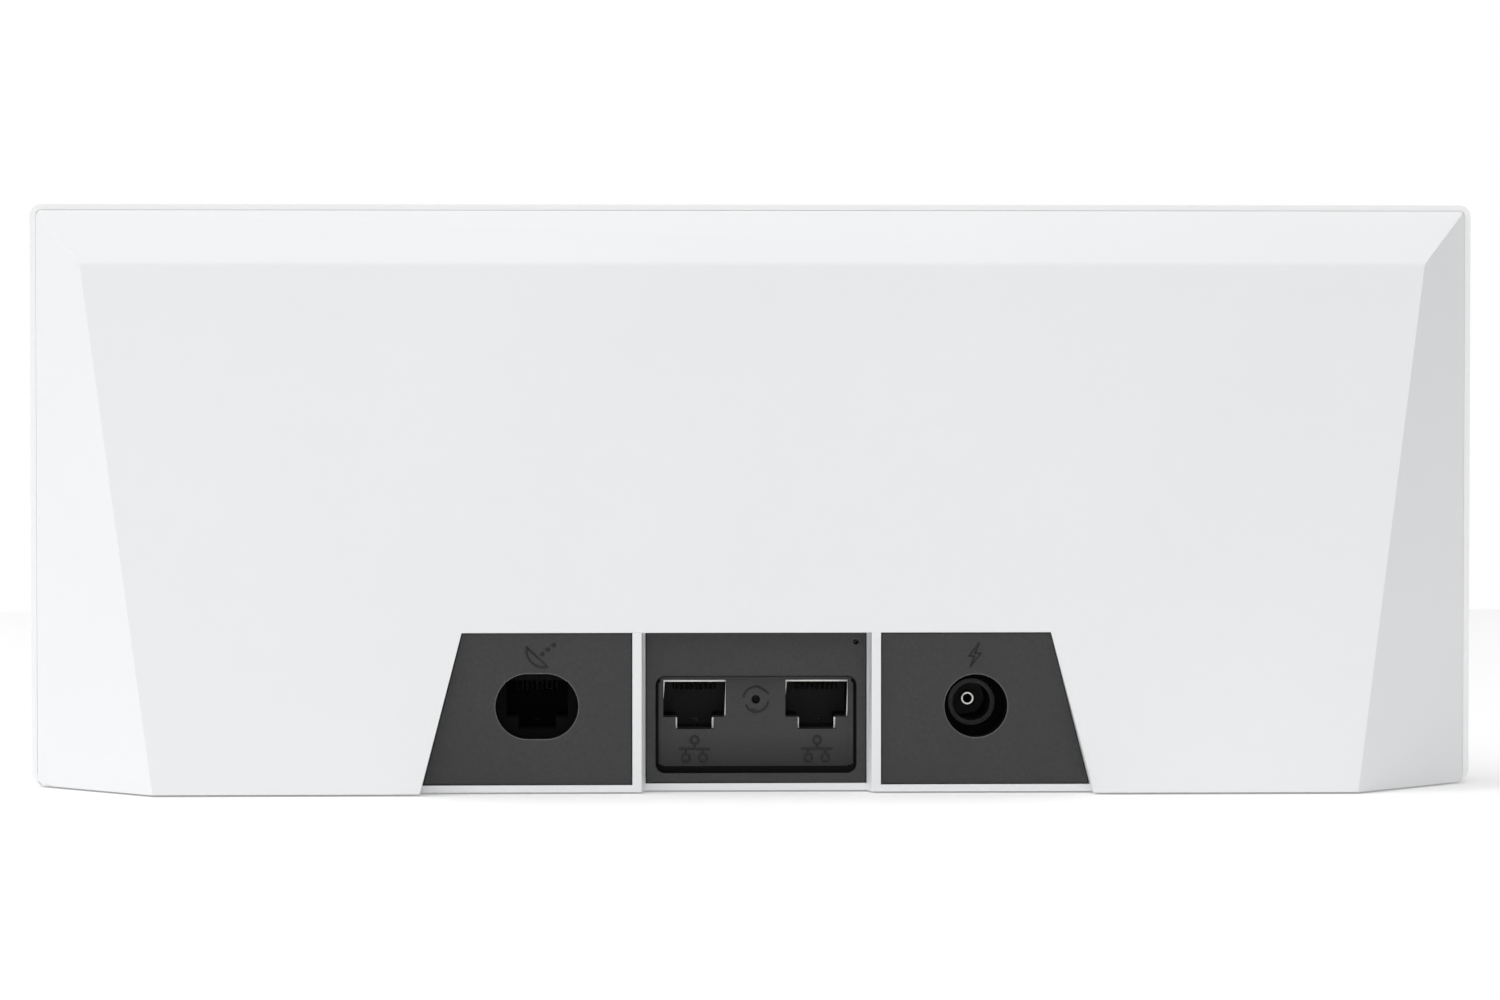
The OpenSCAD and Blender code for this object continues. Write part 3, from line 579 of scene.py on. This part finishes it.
# wires and raised marks are grown along drawn paths by one node tree
def wireRowTree():
    tree = bpy.data.node_groups.new("wireRow", "GeometryNodeTree")
    for name, kind, way in (("Path", "Geometry", "INPUT"), ("Wire Radius", "Float", "INPUT"),
                            ("Sides", "Int", "INPUT"), ("Count", "Int", "INPUT"),
                            ("Pitch", "Vector", "INPUT"), ("Finish", "Material", "INPUT"),
                            ("Wires", "Geometry", "OUTPUT")):
        tree.interface.new_socket(name=name, in_out=way, socket_type="NodeSocket" + kind)
    start = addNode(tree, "NodeGroupInput").outputs
    path = addNode(tree, "GeometryNodeMeshToCurve", None, {"Mesh": start["Path"]})
    ring = addNode(tree, "GeometryNodeCurvePrimitiveCircle", None,
                   {"Resolution": start["Sides"], "Radius": start["Wire Radius"]})
    wire = addNode(tree, "GeometryNodeCurveToMesh", {"Fill Caps": True},
                   {"Curve": path.outputs[0], "Profile Curve": ring.outputs[0]})
    spots = addNode(tree, "GeometryNodeMeshLine", None,
                    {"Count": start["Count"], "Offset": start["Pitch"]})
    row = addNode(tree, "GeometryNodeInstanceOnPoints", None,
                  {"Points": spots.outputs[0], "Instance": wire.outputs[0]})
    real = addNode(tree, "GeometryNodeRealizeInstances", None, {"Geometry": row.outputs[0]})
    painted = addNode(tree, "GeometryNodeSetMaterial", None,
                      {"Geometry": real.outputs[0], "Material": start["Finish"]})
    addNode(tree, "NodeGroupOutput", None, {"Wires": painted.outputs[0]})
    return tree


wireRow = wireRowTree()
wireSmooth = 50  # degrees between a wire's faces that still shade as one


# grows one piece from paths, each a list of points in metres and whether it closes;
# wire holds its radius in millimetres and its sides
def grownPiece(name, paths, wire, slotName, *replaced, finish=None, count=1, pitch=0.0):
    points, links = [], []
    for path, closed in paths:
        first = len(points)
        points += path
        links += [(first + i, first + i + 1) for i in range(len(path) - 1)]
        links += [(len(points) - 1, first)] if closed else []
    mesh = bpy.data.meshes.new(name + "Path")
    mesh.from_pydata(points, links, [])
    host = linked(name + "Path", mesh)
    modifier = host.modifiers.new("grow", "NODES")
    modifier.node_group = wireRow
    settings = {"Wire Radius": wire["radius"] * mm, "Sides": wire["sides"], "Count": count,
                "Pitch": (pitch * mm, 0.0, 0.0), "Finish": finish or finishes[slotName]}
    for socket in wireRow.interface.items_tree:
        if socket.in_out == "INPUT" and socket.name in settings:
            modifier[socket.identifier] = settings[socket.name]
    made = linked(name, resultOf(host))
    bpy.data.objects.remove(host)
    made.data.shade_smooth()
    made.data.set_sharp_from_angle(angle=math.radians(wireSmooth))
    return placePiece(made, slotName, *replaced, finish=finish)


# a socket's sprung contacts: tip holds points behind the bend and below the roof, and tail the last
# point from the low front corner, all in millimetres
contact = {"count": 8, "pitch": 1.02, "radius": 0.18, "sides": 8, "bend": 0.2,
           "tip": [(0.9, 0.0), (0.3, 0.03), (0.0, 0.2), (0.3, 0.42)], "tail": (7.2, 0.2)}
comb = {"radius": 0.3, "sides": 4, "drop": 2.4}  # the teeth that keep the contacts apart
# the wire that catches a plug's latch, from the socket's roof down, with its two legs
catchSpring = {"radius": 0.11, "sides": 6, "halfWidth": 0.55, "below": 8.5, "foot": 10.2,
               "y": -6.3, "leg": 1.0}
for nodeName, name in (("ethernet_jack_left_contacts", "left"),
                       ("ethernet_jack_right_contacts", "right"),
                       ("dish_jack_contacts", "dish")):
    low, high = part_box(nodeName)
    middleX = (low.x + high.x) / 2
    first = middleX - contact["pitch"] * mm * (contact["count"] - 1) / 2
    roof, bend = high.z - contact["radius"] * mm, low.y + contact["bend"] * mm
    path = [(first, high.y, roof)]
    path += [(first, bend + back * mm, roof - below * mm) for back, below in contact["tip"]]
    path += [(first, low.y + contact["tail"][0] * mm, low.z + contact["tail"][1] * mm)]
    grownPiece(name + "Contacts", [(path, False)], contact, "gold_plate", nodeName,
               count=contact["count"], pitch=contact["pitch"])
    toothX = first - contact["pitch"] * mm / 2
    tooth = [(toothX, bend, high.z), (toothX, bend, high.z - comb["drop"] * mm)]
    grownPiece(name + "Comb", [(tooth, False)], comb, "jack_plastic",
               count=contact["count"] + 1, pitch=contact["pitch"])
    tipZ, footZ = high.z - catchSpring["below"] * mm, high.z - catchSpring["foot"] * mm
    half, tipY = catchSpring["halfWidth"] * mm, catchSpring["y"] * mm
    footY = tipY + catchSpring["leg"] * mm
    bail = [(middleX - half, footY, footZ), (middleX - half, tipY, tipZ),
            (middleX + half, tipY, tipZ), (middleX + half, footY, footZ)]
    grownPiece(name + "Spring", [(bail, False)], catchSpring, "plated_metal")

# pictograms raised in the panels: places in millimetres from each socket's middle
marks = {"radius": 0.22, "sides": 8, "ringRadius": 0.77, "dotRadius": 0.26, "resetRadius": 2.55,
         "dishRadius": 3.4, "ringSteps": 24, "dotSteps": 10}


def arc(x, z, radius, start, end, steps=marks["ringSteps"]):
    angles = [math.radians(start + (end - start) * i / steps) for i in range(steps + 1)]
    return [(x + radius * math.cos(angle), z + radius * math.sin(angle)) for angle in angles]


def ring(x, z, radius, steps=marks["ringSteps"]):
    return arc(x, z, radius, 0, 360 * (steps - 1) / steps, steps - 1)


networkMark = [(ring(x, z, marks["ringRadius"]), True)
               for x, z in ((0, -7.3), (-1.8, -10.9), (1.7, -10.9))]
networkMark += [(line, False) for line in (
    [(-3.2, -9.1), (3.2, -9.1)], [(0, -8.1), (0, -9.1)], [(-1.8, -9.1), (-1.8, -10.1)],
    [(1.7, -9.1), (1.7, -10.1)])]
dishMark = [(arc(1.3, 11.4, marks["dishRadius"], 165, 285) + [(-1.9, 11.9)], False)]
dishMark += [(ring(x, z, marks["dotRadius"], marks["dotSteps"]), True)
             for x, z in ((1.1, 10.7), (2.2, 11.6), (3.4, 12.5))]
boltMark = [([(0.7, 12.9), (-1.5, 10.1), (-0.3, 10.1), (-1.2, 7.9), (1.0, 10.7), (-0.2, 10.7)], True)]
resetMark = [(arc(0, 0, marks["resetRadius"], 170, 62), False),
             (arc(0, 0, marks["resetRadius"], -8, -122), False),
             ([(0.2, 2.75), (1.2, 2.25), (2.6, 1.25)], False),
             ([(-2.1, -1.1), (-1.35, -2.16), (-0.1, -2.2)], False)]


def markPaths(drawn, mountName, faceY):
    at = mountAt[mountName]
    return [([(at[0] + x * mm, faceY, at[2] + z * mm) for x, z in line], closed)
            for line, closed in drawn]


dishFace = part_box("dish_port_panel")[0].y
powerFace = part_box("power_port_panel")[0].y
# the marks take the charcoal painted darker, as the shade along their raised lines
for name, paths in (
        ("networkMarks", markPaths(networkMark, "ethernet_socket_left", wellFloor)
         + markPaths(networkMark, "ethernet_socket_right", wellFloor)),
        ("resetMark", markPaths(resetMark, "reset_pinhole", wellFloor)),
        ("dishMark", markPaths(dishMark, "dish_socket", dishFace)),
        ("powerMark", markPaths(boltMark, "power_plug_well", powerFace))):
    grownPiece(name, paths, marks, "port_panel", finish=markShadeCharcoal)
print("wires and marks grown")

# small parts that show in the sockets and under the base
smallParts = {  # node: piece name, slot, another finish, edge radius in millimetres and its segments
    # the dish shield takes the near-black painted shade, for the shade inside its socket
    "dish_jack_shield": ("dishShield", "plated_metal", paintedShadeBlack, 0.06, 1),
    # the network shields take the paler tin, partly a painted highlight at their edges
    "ethernet_jack_left_shield": ("leftShield", "plated_metal", brightTinHighlight, 0.06, 1),
    "ethernet_jack_right_shield": ("rightShield", "plated_metal", brightTinHighlight, 0.06, 1),
    # the power barrel takes the lighter nylon, as painted light on its lip
    "power_jack_body": ("powerBarrel", "jack_plastic", litLipGrey, 0.3, 2),
    "power_jack_pin": ("powerPin", "plated_metal", None, 0.25, 3),
    "light_pipe": ("lightPipe", "light_pipe", None, 0.2, 2),
    "rubber_feet": ("rubberFeet", "foot_rubber", None, 0.15, 2)}
roundedEnd = {"light_pipe": (1, 1), "rubber_feet": (2, 0)}  # axis, and low or high end; others (1, 0)
# how far a shield's edge is drawn into the socket at each corner of its mouth, in millimetres, and
# how far from the middle the mouth and its notch for a plug's latch reach
shieldShow = {"top": 0.3, "topLeft": 0.12, "topRight": -0.2, "shoulderLeft": -0.45,
              "shoulderRight": 0.08, "catch": 0.14, "low": -0.5}
shieldMouth = {"half": 6.5, "notch": 5.0, "topBand": 0.1}


def reshapeMouth(shape, low, high):
    middle = (low.x + high.x) / 2
    mouth = [v for v in shape.verts if abs(v.co.x - middle) < shieldMouth["half"] * mm]
    topZ = max(v.co.z for v in mouth)
    for v in mouth:
        side = math.copysign(1, v.co.x - middle)
        atTop = v.co.z > topZ - shieldMouth["topBand"] * mm
        corner = ("top" if atTop else "shoulder") + ("Left" if side < 0 else "Right")
        if abs(v.co.x - middle) < shieldMouth["notch"] * mm:
            corner = "catch"
        v.co.x -= side * shieldShow[corner] * mm
        v.co.z += (-shieldShow["top"] if atTop else shieldShow["low"]) * mm


for nodeName, (name, slotName, finish, radius, segments) in smallParts.items():
    axis, end = roundedEnd.get(nodeName, (1, 0))
    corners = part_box(nodeName)
    shape = mergedMesh(nodeName)
    wholeFaces(shape)
    if nodeName.startswith("ethernet"):
        reshapeMouth(shape, *corners)
    piece = roundedPiece(name, shape, [
        (lambda e: onPlane(e, axis, corners[end][axis]), radius)], segments)
    placePiece(piece, slotName, nodeName, finish=finish)

# the pin is hollow, with painted shade inside: faces nearer the middle than radius and deeper than
# lip take the near-black finish
pinHollow = {"radius": 0.9, "lip": 0.1}
pin = bpy.data.objects["powerPin"]
pin.data.materials.append(paintedShadeBlack)
pinLow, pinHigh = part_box("power_jack_pin")
pinMiddle = (pinLow + pinHigh) / 2
for face in pin.data.polygons:
    out = face.center - pinMiddle
    if (math.hypot(out.x, out.z) < pinHollow["radius"] * mm
            and face.center.y > pinLow.y + pinHollow["lip"] * mm):
        face.material_index = 1
print("small parts made")

camera = {"lens": 120, "sensor": 36, "near": 0.05, "far": 50, "place": (-0.0342, -1.0316, 0.0868),
          "tilt": 88.476, "turn": -1.852}
eye = bpy.data.cameras.new("camera")
eye.lens, eye.sensor_width = camera["lens"], camera["sensor"]
eye.clip_start, eye.clip_end = camera["near"], camera["far"]
viewer = linked("camera", eye)
viewer.location = camera["place"]
viewer.rotation_euler = (math.radians(camera["tilt"]), 0, math.radians(camera["turn"]))
bpy.context.scene.camera = viewer

# metres, watts and strengths; each lamp has its place, its width and its power
studio = {"floorSize": 1.5, "floorGlow": 0.12, "skyLeft": 0.67, "skyRight": 0.38, "skyTurn": -0.3,
          "aim": (0.0, 0.0, 0.06),
          "lamps": {"key": ((-1.77, -0.53, 1.6), 1.4, 15), "front": ((0.0, -1.76, 1.38), 1.4, 6),
                    "top": ((0.0, 0.0, 2.2), 1.4, 9)}}
floorShape = bmesh.new()
half = studio["floorSize"] / 2
floorShape.faces.new([floorShape.verts.new((x * half, y * half, cadBounds[0][2])) for x, y in
                      ((-1, -1), (1, -1), (1, 1), (-1, 1))])
floor = newPiece("floor", floorShape)
# matt white card, lit a little from within so that it stays white at its far edge
floorCard = newMaterial("paleStudioCard", Base_Color=fromHex("#fbfbfb"), Roughness=0.9,
                        Emission_Color=white, Emission_Strength=studio["floorGlow"])[0]
floor.data.materials.append(floorCard)

world = bpy.data.worlds.new("studio")
world.use_nodes = True
bpy.context.scene.world = world
sky = world.node_tree.nodes["Background"]
sky.inputs["Color"].default_value = white
# the sky is a little dimmer on the right, and plain white where the camera sees it
direction = addNode(world.node_tree, "ShaderNodeTexCoord").outputs["Generated"]
side = addNode(world.node_tree, "ShaderNodeSeparateXYZ", None, {0: direction})
glow = addNode(world.node_tree, "ShaderNodeMapRange",
               {"From Min": studio["skyTurn"], "To Min": studio["skyLeft"],
                "To Max": studio["skyRight"]}, {"Value": side.outputs["X"]})
ray = addNode(world.node_tree, "ShaderNodeLightPath")
level = addNode(world.node_tree, "ShaderNodeMix", {"B": 1.0},
                {"Factor": ray.outputs["Is Camera Ray"], "A": glow.outputs[0]})
world.node_tree.links.new(level.outputs[0], sky.inputs["Strength"])
for lampName, (place, size, power) in studio["lamps"].items():
    lamp = bpy.data.lights.new(lampName, "AREA")
    lamp.shape = "DISK"
    lamp.size = size
    lamp.energy = power
    holder = linked(lampName, lamp)
    holder.location = place
    aim = Vector(studio["aim"]) - Vector(place)
    holder.rotation_euler = aim.to_track_quat("-Z", "Y").to_euler()
bpy.context.scene.view_settings.view_transform = "Standard"
print("camera and lights set")
